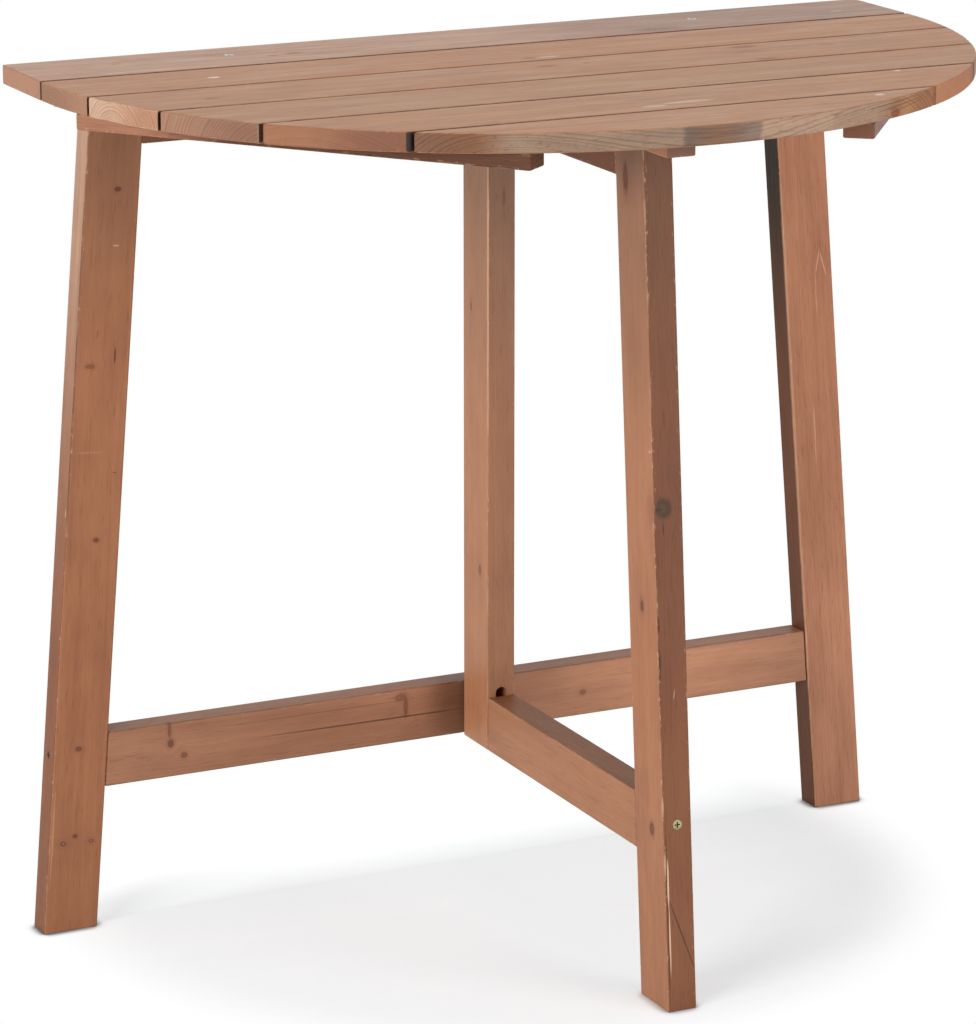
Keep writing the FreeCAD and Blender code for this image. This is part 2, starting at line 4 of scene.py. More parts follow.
import bpy
import numpy as np
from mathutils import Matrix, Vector


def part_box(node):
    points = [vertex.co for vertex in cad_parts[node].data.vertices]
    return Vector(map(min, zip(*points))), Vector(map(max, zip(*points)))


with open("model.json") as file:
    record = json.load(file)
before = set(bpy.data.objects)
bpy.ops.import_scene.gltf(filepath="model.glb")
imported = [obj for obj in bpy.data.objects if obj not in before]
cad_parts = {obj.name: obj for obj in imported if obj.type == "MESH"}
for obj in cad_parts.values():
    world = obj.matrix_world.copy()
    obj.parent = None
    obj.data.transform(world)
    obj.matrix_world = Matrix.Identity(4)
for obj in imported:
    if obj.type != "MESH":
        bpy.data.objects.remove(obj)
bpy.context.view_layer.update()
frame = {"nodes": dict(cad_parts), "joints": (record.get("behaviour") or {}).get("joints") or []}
nodes = frame["nodes"]
perMetre = 1000.0  # grain and spots are in millimetres
hingeLine = {joint["name"]: Vector(joint["pos_m"]) * perMetre for joint in frame["joints"]}["leaf_lift"]
slatLow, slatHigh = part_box("fixed_slat")
topRadius = (slatHigh.x - slatLow.x) * perMetre / 2
print("frame loaded:", len(nodes), "pieces")


# Shader maths: a socket that can be added, multiplied and so on

class Wire:
    def __init__(self, tree, socket=None):
        self.tree = tree
        self.socket = socket

    def node(self, kind, settings=None, sockets=None, output=0):
        # adds any node: its settings first, then the values or links of its sockets
        made = self.tree.nodes.new("ShaderNode" + kind)
        for name, value in (settings or {}).items():
            setattr(made, name, value)
        for name, value in (sockets or {}).items():
            if isinstance(value, Wire):
                self.tree.links.new(value.socket, made.inputs[name])
            else:
                made.inputs[name].default_value = value
        return Wire(self.tree, made.outputs[output] if made.outputs else None)

    def other(self, output):
        return Wire(self.tree, self.socket.node.outputs[output])

    def maths(self, operation, *values):
        return self.node("Math", {"operation": operation}, dict(enumerate(values)))

    def __add__(self, other):
        return self.maths("ADD", self, other)

    def __sub__(self, other):
        return self.maths("SUBTRACT", self, other)

    def __rsub__(self, other):
        return self.maths("SUBTRACT", other, self)

    def __mul__(self, other):
        return self.maths("MULTIPLY", self, other)

    def __truediv__(self, other):
        return self.maths("DIVIDE", self, other)

    def __rtruediv__(self, other):
        return self.maths("DIVIDE", other, self)

    def __neg__(self):
        return self.maths("SUBTRACT", 0, self)

    def __abs__(self):
        return self.maths("ABSOLUTE", self)

    __radd__ = __add__
    __rmul__ = __mul__


def vectorMaths(operation, first, second=None, scale=None, output="Vector"):
    either = first if isinstance(first, Wire) else second if isinstance(second, Wire) else scale
    sockets = {0: first}
    if second is not None:
        sockets[1] = second
    if scale is not None:
        sockets["Scale"] = scale
    return either.node("VectorMath", {"operation": operation}, sockets, output)


def along(vector, axis):
    return vectorMaths("DOT_PRODUCT", vector, axis, output="Value")


def length(vector):
    return vectorMaths("LENGTH", vector, output="Value")


def rise(value, low, high):
    # 0 below low, 1 above high, smooth between
    return value.node("MapRange", {"interpolation_type": "SMOOTHSTEP"},
                      {"Value": value, "From Min": low, "From Max": high})


def fall(value, low, high):
    return 1 - rise(value, low, high)


# Each noise: its waves per millimetre along, across and through the grain, its shift and its detail
noises = {
    "wander": ((0.0040, 0.010, 0.010), 0, 2.0),
    "ripple": ((0.022, 0.060, 0.060), 41, 2.0),
    "fibre": ((0.035, 0.9, 0.9), 3, 3.0),
    "streak": ((0.0050, 0.13, 0.13), 7, 4.0),
    "blotch": ((0.014, 0.034, 0.034), 11, 4.0),
    "pores": ((0.050, 1.3, 1.3), 17, 1.0),
    "flecks": ((0.020, 0.40, 0.40), 19, 2.0),
    "speckle": ((0.4, 0.9, 0.9), 23, 2.0),
    "bloom": ((0.009, 0.07, 0.07), 13, 4.0),
    "scuff": ((0.05, 0.30, 0.30), 31, 4.0),
    "dents": ((0.20, 0.45, 0.45), 37, 2.0),
    "tarnish": ((0.25, 0.25, 0.25), 5, 4.0),
    "scratches": ((0.4, 3.0, 3.0), 9, 2.0),
}


def grainNoise(place, name, seed=0.0, output=0):
    stretch, shift, detail = noises[name]
    away = seed + shift
    moved = place.node("VectorMath", {"operation": "MULTIPLY_ADD"},
                       {0: place, 1: stretch, 2: (away, away / 3, -away)})
    return place.node("TexNoise", {}, {"Vector": moved, "Scale": 1.0, "Detail": detail}, output)


def mixColour(factor, first, second, how="MIX"):
    colours = {6: first, 7: second}
    for key, value in colours.items():
        if not isinstance(value, Wire):
            colours[key] = (*value, 1.0)
    return factor.node("Mix", {"data_type": "RGBA", "blend_type": how}, {0: factor, **colours}, 2)


def newMaterial(name):
    material = bpy.data.materials.new(name)
    material.use_nodes = True
    material.node_tree.nodes.clear()
    return material, Wire(material.node_tree)


def dress(node, material):
    slots = nodes[node].data.materials
    for index in range(len(slots)):
        slots[index] = material
    if not slots:
        slots.append(material)


# Timber: growth rings round a pith, wandering along the board, so faces, edges and ends agree

planeAxes = {"XZ": (0, 2, 1), "XY": (0, 1, 2), "YZ": (1, 2, 0)}


def tightest(flat, turns):
    # the turn whose box round the points is smallest
    areas = []
    for turn in turns:
        reach = flat @ np.array([[math.cos(turn), -math.sin(turn)], [math.sin(turn), math.cos(turn)]])
        areas.append(np.prod(np.ptp(reach, axis=0)))
    return turns[int(np.argmin(areas))]


def grainFrame(node, plane):
    # middle, axes along and across the grain, and half sizes of a bar that lies in a plane
    mesh = nodes[node].data
    points = np.empty(len(mesh.vertices) * 3)
    mesh.vertices.foreach_get("co", points)
    points = points.reshape(-1, 3) * perMetre
    first, second, normal = planeAxes[plane]
    flat = points[:, [first, second]]
    step = math.radians(1)
    coarse = tightest(flat, np.arange(0, math.pi, step))
    turn = tightest(flat, np.arange(coarse - step, coarse + step, step / 50))
    axes = []
    for quarter in (turn, turn + math.pi / 2):
        axis = np.zeros(3)
        axis[first] = math.cos(quarter)
        axis[second] = math.sin(quarter)
        axes.append(axis if axis[np.argmax(np.abs(axis))] > 0 else -axis)
    axes.sort(key=lambda axis: -np.ptp(points @ axis))
    through = np.zeros(3)
    through[normal] = 1
    axes.append(through)
    middle = sum(axis * (np.max(points @ axis) + np.min(points @ axis)) / 2 for axis in axes)
    half = [np.ptp(points @ axis) / 2 for axis in axes]
    return [tuple(map(float, vector)) for vector in (middle, *axes, half)]


timberDefaults = {
    "early": (0.420, 0.176, 0.086),   # wood between the rings
    "late": (0.190, 0.070, 0.036),    # the dark line that ends each ring
    "ringWidth": 2.7,                 # millimetres
    "ringContrast": 0.20,
    "pith": (7, -38),                 # across and through, from the middle of the piece
    "drift": (0.010, 0.006),          # how the pith leaves the board along its length
    "wander": 2.6,                    # how far the grain waves
    "fibre": 0.60,                    # fine lines along the grain
    "streaks": 0.50,                  # bands of darker stain along the grain
    "mottle": 0.30,                   # clouds in the stain
    "flecks": 0.30,                   # short dark dashes along the grain
    "weathered": 0.0,                 # dry grey bloom on the upper face
    "ends": (0.43, 0.225, 0.130),     # end grain between the rings
    "endLines": 0.75,
    "wear": 0.30,                     # stain rubbed off along the edges
    "nicks": 0.32,                    # small pale dents there
    "edgeDarkening": 0.0,                  # darker along the edges; on the slats, painted shade in the gaps between them
    "edgeDarkTone": (0.058, 0.022, 0.013),
    "knotDark": (0.115, 0.031, 0.013),
    "knotLight": (0.190, 0.070, 0.036),
    "gloss": 0.35,
    "faces": {},                      # tint on one face, such as "v-" for the low side across: stain, and painted light and shade such as the dark sides of gaps
    "knots": (),
    "slits": (),                      # dark cracks, dents and joints of colour
    "chipsAndHighlights": (),                      # raw wood where the stain has come off, and pale lines painted as highlights along corners
    "patches": (),                    # stretches of darker or paler colour: stain, and painted light and shade
}
rawWood = (0.66, 0.43, 0.27)
paleScratchAndHighlight = (0.78, 0.47, 0.30)        # stain worn thin along a scratch, and a painted highlight along a corner
poreDark = (0.115, 0.031, 0.013)
slitDark = (0.058, 0.022, 0.013)
bloomGrey = (0.53, 0.37, 0.25)
mottleStain = (0.70, 0.64, 0.63)
grainRelief = {"Strength": 0.35, "Distance": 0.0004}
knotReach = 0.22                      # how soon the push of a knot on the grain fades
knotPush = 0.75


def stainAndShadePatch(at, size, stainAndShade, fade=(0.92, 1.08), face=None):
    # a stretch of darker or paler colour, on one face or on all; it serves both stain and painted light and
    # shade
    return {"at": at, "size": size, "stainAndShade": stainAndShade, "fade": fade, "face": face}


def spotDistance(place, spot):
    # 1 at the rim of an egg-shaped spot, which may lean away from the grain
    away = vectorMaths("SUBTRACT", place, spot["at"])
    if "lean" in spot:
        leaning = vectorMaths("SCALE", (0, *spot["lean"]), scale=along(away, (1, 0, 0)))
        away = vectorMaths("SUBTRACT", away, leaning)
    return away, length(vectorMaths("DIVIDE", away, spot["size"]))


def timber(node, seed, plane, **changes):
    look = {**timberDefaults, **changes}
    middle, lengthwise, across, through, half = grainFrame(node, plane)
    material, start = newMaterial(node + "Timber")
    coordinates = start.node("TexCoord", output="Object")
    millimetres = vectorMaths("SCALE", coordinates, scale=perMetre)
    fromMiddle = vectorMaths("SUBTRACT", millimetres, middle)
    u, v, w = [along(fromMiddle, axis) for axis in (lengthwise, across, through)]
    place = start.node("CombineXYZ", {}, {0: u, 1: v, 2: w})
    normal = coordinates.other("Normal")
    facing = {"v": along(normal, across), "w": along(normal, through)}

    def faceMask(face):
        if face == "rim":
            return fall(abs(facing["w"]), 0.3, 0.7)
        side = facing[face[0]] if face[1] == "+" else -facing[face[0]]
        depth = half[1] - abs(v) if face[0] == "v" else half[2] - abs(w)
        return rise(side, 0.45, 0.85) * fall(depth, 0.2, 1.0)

    # knots push the grain aside
    pushed = place
    knots = []
    for knot in look["knots"]:
        away, distance = spotDistance(place, knot)
        push = start.maths("EXPONENT", distance * distance * -knotReach) * knotPush
        sideways = vectorMaths("MULTIPLY", away, (0, 1, 1))
        pushed = vectorMaths("SUBTRACT", pushed, vectorMaths("SCALE", sideways, scale=push))
        knots.append((knot, distance))

    # rings
    wander = grainNoise(place, "wander", seed, 1)
    ripple = grainNoise(place, "ripple", seed, 1)
    noiseMiddle = (0.5, 0.5, 0.5)
    wandered = vectorMaths("SUBTRACT", wander, noiseMiddle)
    wandered = vectorMaths("SCALE", wandered, scale=2 * look["wander"])
    rippled = vectorMaths("SUBTRACT", ripple, noiseMiddle)
    rippled = vectorMaths("SCALE", rippled, scale=0.45 * look["wander"])
    drifted = vectorMaths("SCALE", (0, *look["drift"]), scale=u)
    shifted = vectorMaths("ADD", vectorMaths("ADD", pushed, vectorMaths("ADD", wandered, rippled)), drifted)
    fromPith = vectorMaths("MULTIPLY", vectorMaths("SUBTRACT", shifted, (0, *look["pith"])), (0, 1, 1))
    radius = length(fromPith)
    uneven = start.node("TexNoise", {"noise_dimensions": "1D"},
                        {"W": radius * 0.11 + seed, "Scale": 1.0, "Detail": 1.0})
    ring = start.maths("FRACT", radius / look["ringWidth"] + uneven * 2.2)
    late = (rise(ring, 0.45, 0.90) - rise(ring, 0.92, 1.0)) * (uneven * 1.6 + 0.2)

    # fibres, streaks and the uneven take-up of the stain
    fibre = grainNoise(shifted, "fibre", seed)
    streak = grainNoise(shifted, "streak", seed)
    blotch = grainNoise(place, "blotch", seed)
    pores = rise(grainNoise(shifted, "pores", seed), 0.62, 0.74)
    grain = (fibre - 0.5) * look["fibre"] + (streak - 0.5) * look["streaks"]
    darkness = late * look["ringContrast"] + grain + 0.18
    colour = mixColour(darkness, look["early"], look["late"])
    colour = mixColour(rise(blotch, 0.35, 0.75) * look["mottle"], colour, mottleStain, "MULTIPLY")
    colour = mixColour(pores * 0.35, colour, poreDark)
    fleck = rise(grainNoise(shifted, "flecks", seed), 0.63, 0.74)
    colour = mixColour(fleck * look["flecks"], colour, look["late"])
    # end grain
    ends = rise(abs(along(normal, lengthwise)), 0.35, 0.75)
    speckle = rise(grainNoise(place, "speckle", seed), 0.40, 0.75)
    endColour = mixColour(late * look["endLines"], look["ends"], look["late"])
    endColour = mixColour(speckle * 0.22 + rise(blotch, 0.4, 0.8) * 0.20, endColour, look["late"])
    colour = mixColour(ends, colour, endColour)

    # stains, and painted light and shade on single faces and stretches
    if look["weathered"]:
        bloom = rise(grainNoise(place, "bloom", seed), 0.42, 0.72)
        bloom = bloom * rise(facing["w"], 0.5, 0.9) * look["weathered"]
        colour = mixColour(bloom, colour, bloomGrey)
    for face, stainAndShade in look["faces"].items():
        colour = mixColour(faceMask(face), colour, stainAndShade, "MULTIPLY")
    for area in look["patches"]:
        distance = spotDistance(place, area)[1]
        ragged = distance + (streak - 0.5) * 0.3 + (fibre - 0.5) * 0.15
        cover = fall(ragged, *area["fade"])
        if area["face"]:
            cover = cover * faceMask(area["face"])
        colour = mixColour(cover, colour, area["stainAndShade"], "MULTIPLY")

    # knots, slits, chips and painted highlights
    height = late * -0.35 + fibre * 0.5 - pores * 0.4
    for knot, distance in knots:
        strength = knot.get("strength", 0.9)
        ragged = distance + (fibre - 0.5) * 0.55 + (blotch - 0.5) * 0.8
        core = fall(ragged, 0.62, 1.10) * strength
        eye = rise(start.maths("SINE", ragged * 9.0), -0.4, 0.9) * 0.45
        shades = knot.get("dark", look["knotDark"]), knot.get("light", look["knotLight"])
        colour = mixColour(fall(distance, 0.6, 2.2) * 0.35 * strength, colour, look["knotLight"])
        colour = mixColour(core, colour, mixColour(eye, *shades))
        height = height - core * 0.3
    for slit in look["slits"]:
        ragged = spotDistance(place, slit)[1] + (blotch - 0.5) * 0.5
        gap = fall(ragged, 0.55, 1.05) * slit.get("strength", 0.85)
        colour = mixColour(gap, colour, slitDark)
        height = height - gap * 1.5
    for paleMark in look["chipsAndHighlights"]:
        ragged = spotDistance(place, paleMark)[1] + (fibre - 0.5) * 1.1
        bare = fall(ragged, 0.60, 1.0) * paleMark.get("strength", 0.8)
        colour = mixColour(bare, colour, paleMark.get("colour", rawWood))
        height = height - bare * 0.6

    # wear along the edges
    edges = half[1] - abs(v)
    faces = half[2] - abs(w)
    tips = half[0] - abs(u)
    if look.get("rounded"):
        spread = vectorMaths("MULTIPLY", vectorMaths("SUBTRACT", millimetres, tuple(hingeLine)), (1, 1, 0))
        tips = topRadius - length(spread)
    nearest = faces + start.maths("MINIMUM", edges, tips)
    scuff = grainNoise(place, "scuff", seed)
    worn = fall(nearest + (scuff - 0.35) * 4.5, 0.5, 1.7) * look["wear"]
    colour = mixColour(worn, colour, rawWood)
    dents = rise(grainNoise(place, "dents", seed), 0.58, 0.70) * fall(nearest, 1.2, 3.2)
    colour = mixColour(dents * look["nicks"], colour, rawWood)
    # darker along the edges: on the slats this is painted shade in the gaps between them
    if look["edgeDarkening"]:
        colour = mixColour(fall(nearest, 0.6, 1.6) * look["edgeDarkening"], colour, look["edgeDarkTone"])

    roughness = 0.50 + (fibre - 0.5) * 0.20 + late * -0.05 + ends * 0.18 + worn * 0.1
    bump = start.node("Bump", {}, {**grainRelief, "Height": height})
    surface = {"Base Color": colour, "Roughness": roughness, "Normal": bump}
    surface["Specular IOR Level"] = look["gloss"]
    start.node("OutputMaterial", {}, {"Surface": start.node("BsdfPrincipled", {}, surface)})
    dress(node, material)


# Back frame. Spots are in millimetres from a piece's middle: along the grain, across it, through it

# planed timber under an even coat of stain
softGrain = {
    "fibre": 0.32,
    "ringContrast": 0.07,
    "ringWidth": 4.6,
    "flecks": 0.14,
    "mottle": 0.42,
}
leftLeg = {
    **softGrain,
    "gloss": 0.20,
    "patches": (
        # painted light: the outer side paler towards the top and darker towards the foot, as lit from the
        # upper left
        stainAndShadePatch((364, -24, 0), (420, 60, 60), (1.40, 2.00, 2.65), (0.0, 1.0), "v-"),
        stainAndShadePatch((-364, -24, 0), (420, 60, 60), (0.66, 0.54, 0.42), (0.5, 1.15), "v-"),
        # painted shade: the front face darker at the top, under the tabletop
        stainAndShadePatch((360, 0, -12.5), (230, 80, 60), (0.68, 0.76, 0.80), (0.1, 1.0), "w-"),
    ),
    "knots": (
        {"at": (276, 5, -12.5), "size": (2.4, 3.4, 7), "strength": 0.95},
        {"at": (128, -11, -12.5), "size": (2.4, 4.6, 7), "strength": 0.55},
        {"at": (-20, 3, -12.5), "size": (2.2, 3.0, 7), "strength": 0.8},
        {"at": (-201, -2, -12.5), "size": (2.6, 4.0, 7), "strength": 0.7},
        {"at": (-278, -1, -12.5), "size": (2.2, 2.6, 7), "strength": 0.8},
        {"at": (-284, -11, -12.5), "size": (3.4, 4.4, 7), "strength": 0.7, "light": (0.55, 0.33, 0.20)},
        {"at": (-283, 14, -12.5), "size": (2.6, 3.6, 7), "strength": 0.6, "light": (0.55, 0.33, 0.20)},
    ),
    "slits": (
        {"at": (137, 10.6, -12.5), "size": (9, 1.0, 4)},
        {"at": (155, -6.0, -12.5), "size": (5, 0.7, 3), "strength": 0.4},
        {"at": (120, -24.1, -12.5), "size": (250, 1.6, 1.6), "strength": 0.6},
        {"at": (37.5, 16.2, -12.5), "size": (0.7, 2.2, 2), "strength": 0.6},
    ),
    "chipsAndHighlights": (
        {"at": (229, 6, -12.5), "size": (0.9, 3.4, 2), "strength": 0.5},
        {"at": (55, -8, -12.5), "size": (1.0, 13, 2), "lean": (-0.6, 0), "strength": 0.16},
        {"at": (-275, -21, -12.5), "size": (48, 1.1, 2), "strength": 0.28},
        {"at": (3, -24.1, -9), "size": (5, 2, 1.4), "strength": 0.7},
    ),
}
timber("left_leg", seed=1.3, plane="XZ", **leftLeg)

rightLeg = {
    **softGrain,
    "gloss": 0.10,
    "early": (0.57, 0.262, 0.148),
    # painted shade: the inner side darker all over
    "faces": {"v-": (0.33, 0.27, 0.215)},
    "patches": (
        # painted shade: the inner side darker still at the top, under the tabletop
        stainAndShadePatch((364, -24, 0), (280, 60, 60), (0.20, 0.30, 0.34), (0.4, 1.3), "v-"),
        stainAndShadePatch((20, 0, -12.5), (220, 80, 60), (0.92, 0.90, 0.90), (0.2, 1.0), "w-"),
        stainAndShadePatch((-300, 0, -12.5), (240, 80, 60), (1.10, 1.13, 1.19), (0.2, 1.0), "w-"),
    ),
    "pith": (10, -16),
    "drift": (0.004, 0.020),
    "chipsAndHighlights": (
        # painted highlight: a pale line along the front corner
        {"at": (0, -23.5, -12.5), "size": (360, 2.2, 2), "strength": 0.30, "colour": paleScratchAndHighlight},
        {"at": (152, 9.5, -12.5), "size": (12, 0.9, 2), "lean": (0.23, 0), "strength": 0.45,
         "colour": paleScratchAndHighlight},
        {"at": (150.5, 14.8, -12.5), "size": (13.5, 0.9, 2), "lean": (-0.22, 0), "strength": 0.45,
         "colour": paleScratchAndHighlight},
        {"at": (124, 6.5, -12.5), "size": (26, 1.0, 2), "strength": 0.25, "colour": paleScratchAndHighlight},
        {"at": (-6, -2.4, -12.5), "size": (34, 0.8, 2), "strength": 0.35, "colour": paleScratchAndHighlight},
    ),
}
timber("right_leg", seed=4.1, plane="XZ", **rightLeg)

backStretcher = {
    **softGrain,
    "early": (0.46, 0.215, 0.118),
    "edgeDarkening": 0.45,
    "knots": (
        {"at": (-281, 6, -11.5), "size": (3.2, 4.2, 6), "strength": 0.75},
        {"at": (-282, 18, -11.5), "size": (2.2, 9.0, 6), "strength": 0.55},
        {"at": (-269, -6.2, -11.5), "size": (3.4, 3.0, 6), "strength": 0.6},
        {"at": (-66, 17, -11.5), "size": (6, 4.0, 6), "strength": 0.45},
        {"at": (-61, 8, -11.5), "size": (2.2, 9.0, 6), "strength": 0.55},
        {"at": (112, -2.9, -11.5), "size": (4, 3, 6), "strength": 0.5},
    ),
    "patches": (
        # painted light: the right part paler where the gate shades it
        stainAndShadePatch((170, 0, -11.5), (200, 60, 40), (1.46, 1.48, 1.50), (0.2, 1.0)),
        # painted shade: darker next to the gate post
        stainAndShadePatch((-8, 0, -11.5), (42, 60, 40), (0.55, 0.54, 0.52), (0.3, 1.0)),
        stainAndShadePatch((-210, 24, 0), (170, 20, 40), (1.09, 1.13, 1.12), (0.3, 1.0), "v+"),
    ),
    "slits": (
        {"at": (-100, -0.9, -11.5), "size": (118, 1.0, 3), "lean": (-0.004, 0), "strength": 0.75},
        {"at": (-140, 14, -11.5), "size": (120, 0.7, 3), "strength": 0.35},
    ),
}
timber("back_stretcher", seed=9.2, plane="XZ", **backStretcher)
# the top rail sits under the tabletop: its colour is darkened as painted shade
shadedTopRail = {**softGrain, "early": (0.185, 0.080, 0.044), "gloss": 0.15}
timber("top_rail", seed=7.7, plane="XZ", **shadedTopRail)

# Top: the fixed slat is greyer, and the sides of the gaps between slats are painted dark as shade

topSlat = {
    "early": (0.475, 0.220, 0.094),
    "late": (0.23, 0.096, 0.048),
    # painted shade along the edges, in the gaps between slats, reddish brown
    "edgeDarkening": 0.26,
    "edgeDarkTone": (0.13, 0.028, 0.006),
    "knotDark": (0.23, 0.045, 0.006),
    "knotLight": (0.30, 0.095, 0.022),
    "flecks": 0.75,
    "weathered": 0.30,
    "wear": 0.14,
    "nicks": 0.15,
    "streaks": 0.70,
    "ringContrast": 0.26,
}
# painted shade on the sides of the gaps between the slats, fainter on some
gapShade = (0.085, 0.020, 0.008)
faintGapShade = (0.46, 0.31, 0.23)
fixedSlat = {
    **topSlat,
    "early": (0.54, 0.312, 0.212),
    "weathered": 0.62,
    "edgeDarkening": 0.30,
    "ends": (0.46, 0.236, 0.149),
    "endLines": 0.18,
    "faces": {"v-": gapShade},
    "patches": (
        stainAndShadePatch((250, 0, 8), (290, 120, 30), (0.73, 0.74, 0.78), (0.3, 1.0)),
        stainAndShadePatch((163, -29, 8), (26, 9, 6), (0.62, 0.58, 0.56), (0.3, 1.2)),
    ),
    "knots": (
        {"at": (-316, 5.4, 8), "size": (4, 2, 4), "strength": 0.5},
        {"at": (-165, -8, 8), "size": (9, 3, 4), "strength": 0.7},
        {"at": (-185, -12, 8), "size": (5, 2, 4), "strength": 0.6},
    ),
    "chipsAndHighlights": (
        {"at": (350, -10, 8), "size": (7, 2.5, 3), "strength": 0.35, "colour": (0.72, 0.66, 0.62)},
        {"at": (-309, -34, 8), "size": (40, 2.2, 3), "strength": 0.40, "colour": (0.72, 0.66, 0.62)},
    ),
}
timber("fixed_slat", seed=12.5, plane="XY", **fixedSlat)

bleached = (0.75, 0.68, 0.62)
# the "rim" patches are partly the boards' own tone and partly painted light and shade along the rounded
# edge, paler where it faces the lamp on the left; the "v-" patches near the ends paint the gap sides darker
# or paler
leafSlats = (
    {"edgeDarkening": 0.14,
     "early": (0.485, 0.217, 0.090),
     "ends": (0.40, 0.210, 0.126),
     "endLines": 0.25,
     "patches": (stainAndShadePatch((-390, 40, 0), (60, 80, 90), (0.82, 0.82, 0.84), (0.3, 1.0), "rim"),
                 stainAndShadePatch((-395, -40, 0), (45, 20, 30), (0.25, 0.18, 0.15), face="v-")),
     "gap": faintGapShade,
     "knots": ({"at": (1, -29, 8), "size": (10, 4, 5), "strength": 0.6},),
     "chipsAndHighlights": (
         {"at": (-269, -1.5, 8), "size": (6, 4.5, 3), "colour": bleached},
         {"at": (15, -29, 8), "size": (13, 3, 3), "strength": 0.4, "colour": bleached})},
    {"edgeDarkening": 0.06,
     "early": (0.465, 0.218, 0.097),
     "mottle": 0.5,
     "ends": (0.62, 0.41, 0.292),
     "endLines": 0.42,
     "pith": (6, -20),
     "ringWidth": 2.1,
     "patches": (stainAndShadePatch((-380, -40, 0), (60, 75, 90), (0.80, 0.61, 0.50), (0.1, 1.0), "rim"),
                 stainAndShadePatch((-385, -40, 0), (55, 20, 30), (0.10, 0.07, 0.06), face="v-")),
     "gap": faintGapShade,
     "knots": (
         {"at": (-307, -8, 8), "size": (7, 3.5, 6), "strength": 0.6},
         {"at": (-6, 13, 8), "size": (9, 4, 5), "strength": 0.7},
         {"at": (30, 12, 8), "size": (3, 1.6, 4), "strength": 0.7},
         {"at": (183, 26, 8), "size": (14, 5.5, 6), "strength": 0.9},
         {"at": (177, 6, 8), "size": (13, 5, 5), "strength": 0.5, "dark": (0.20, 0.085, 0.055)},
         {"at": (172, -34, 8), "size": (11, 3.4, 5), "strength": 0.95},
         {"at": (253, 7, 8), "size": (9, 3.5, 5), "strength": 0.6})},
    {"edgeDarkening": 0.16,
     "early": (0.450, 0.214, 0.094),
     "ends": (0.365, 0.197, 0.124),
     "endLines": 0.60,
     "pith": (-58, -30),
     "ringWidth": 2.4,
     "patches": (stainAndShadePatch((-330, -40, 0), (90, 75, 90), (0.72, 0.65, 0.63), (0.1, 1.0), "rim"),
                 stainAndShadePatch((-350, -40, 0), (60, 20, 30), (2.6, 6.5, 9.0), face="v-")),
     "slits": ({"at": (-223, -4, 8), "size": (13, 1.4, 3), "strength": 0.6},),
     "knots": ({"at": (278, 38, 8), "size": (9, 2.6, 5), "strength": 0.95},)},
    {"ends": (0.330, 0.138, 0.068),
     "endLines": 0.65,
     "pith": (10, -60),
     # painted shade on the side facing the next gap
     "gap": (0.20, 0.085, 0.055),
     "patches": (
         stainAndShadePatch((-240, -40, 0), (110, 75, 90), (0.62, 0.56, 0.60), (0.1, 1.0), "rim"),
         stainAndShadePatch((-226, -40, 0), (70, 20, 30), (0.30, 0.35, 0.40), face="v-"),
         stainAndShadePatch((265, -10, 0), (90, 70, 90), (1.5, 1.45, 1.4), (0.5, 1.0), "rim"),
         stainAndShadePatch((230, -40, 0), (50, 20, 30), (2.6, 4.4, 5.6), face="v-")),
     "chipsAndHighlights": (
         {"at": (239, 34.5, 8), "size": (4, 3, 3), "colour": bleached},
         {"at": (20, -17, 8), "size": (28, 4.5, 3), "strength": 0.4, "colour": bleached},
         {"at": (-13, -24, 8), "size": (12, 4, 3), "strength": 0.4, "colour": bleached})},
    {"early": (0.500, 0.236, 0.106),
     "ends": (0.300, 0.206, 0.168),
     "endLines": 0.95,
     "pith": (-4, -26),
     "ringWidth": 3.1,
     "chipsAndHighlights": ({"at": (169, 22, 8), "size": (5, 3.5, 3), "colour": bleached},),
     "ringContrast": 0.42,
     "knots": ({"at": (173, 4.5, -4.5), "size": (9, 5, 4), "strength": 0.75},),
     "slits": (
         {"at": (172, 5, 4.5), "size": (38, 14, 0.9), "lean": (0.46, 0.04), "strength": 0.5},
         {"at": (180, 8, 1.6), "size": (34, 14, 0.9), "lean": (0.49, 0.07), "strength": 0.45},
         {"at": (190, 13, -0.6), "size": (28, 14, 0.8), "lean": (0.52, 0.11), "strength": 0.4}),
     "patches": (
         stainAndShadePatch((-226, -30, 0), (62, 200, 90), (0.50, 0.42, 0.36), (0.6, 1.1), "rim"),
         stainAndShadePatch((-98, -30, 0), (78, 200, 90), (0.71, 1.00, 1.45), (0.8, 1.2), "rim"),
         stainAndShadePatch((-1, -30, 0), (34, 200, 90), (0.52, 0.54, 0.61), (0.92, 1.07), "rim"),
         stainAndShadePatch((190, -30, 0), (15, 200, 90), (1.25, 1.45, 1.60), (0.3, 1.1), "rim"),
         stainAndShadePatch((90, -30, 0), (90, 200, 90), (1.05, 1.41, 1.98), (0.7, 1.05), "rim"),
         stainAndShadePatch((220, -30, 0), (66, 200, 90), (0.95, 0.76, 0.50), (0.3, 1.1), "rim"))},
)
for index, slat in enumerate(leafSlats, 1):
    # the sides facing the gaps get painted shade
    gaps = {"v+": gapShade}
    if index < len(leafSlats):
        gaps = {"v-": slat.get("gap", gapShade), "v+": gapShade}
    look = {**topSlat, "faces": gaps, "rounded": True, **slat}
    timber("leaf_slat_%d" % index, seed=15.1 + 3.7 * index, plane="XY", **look)

# Battens under the leaf

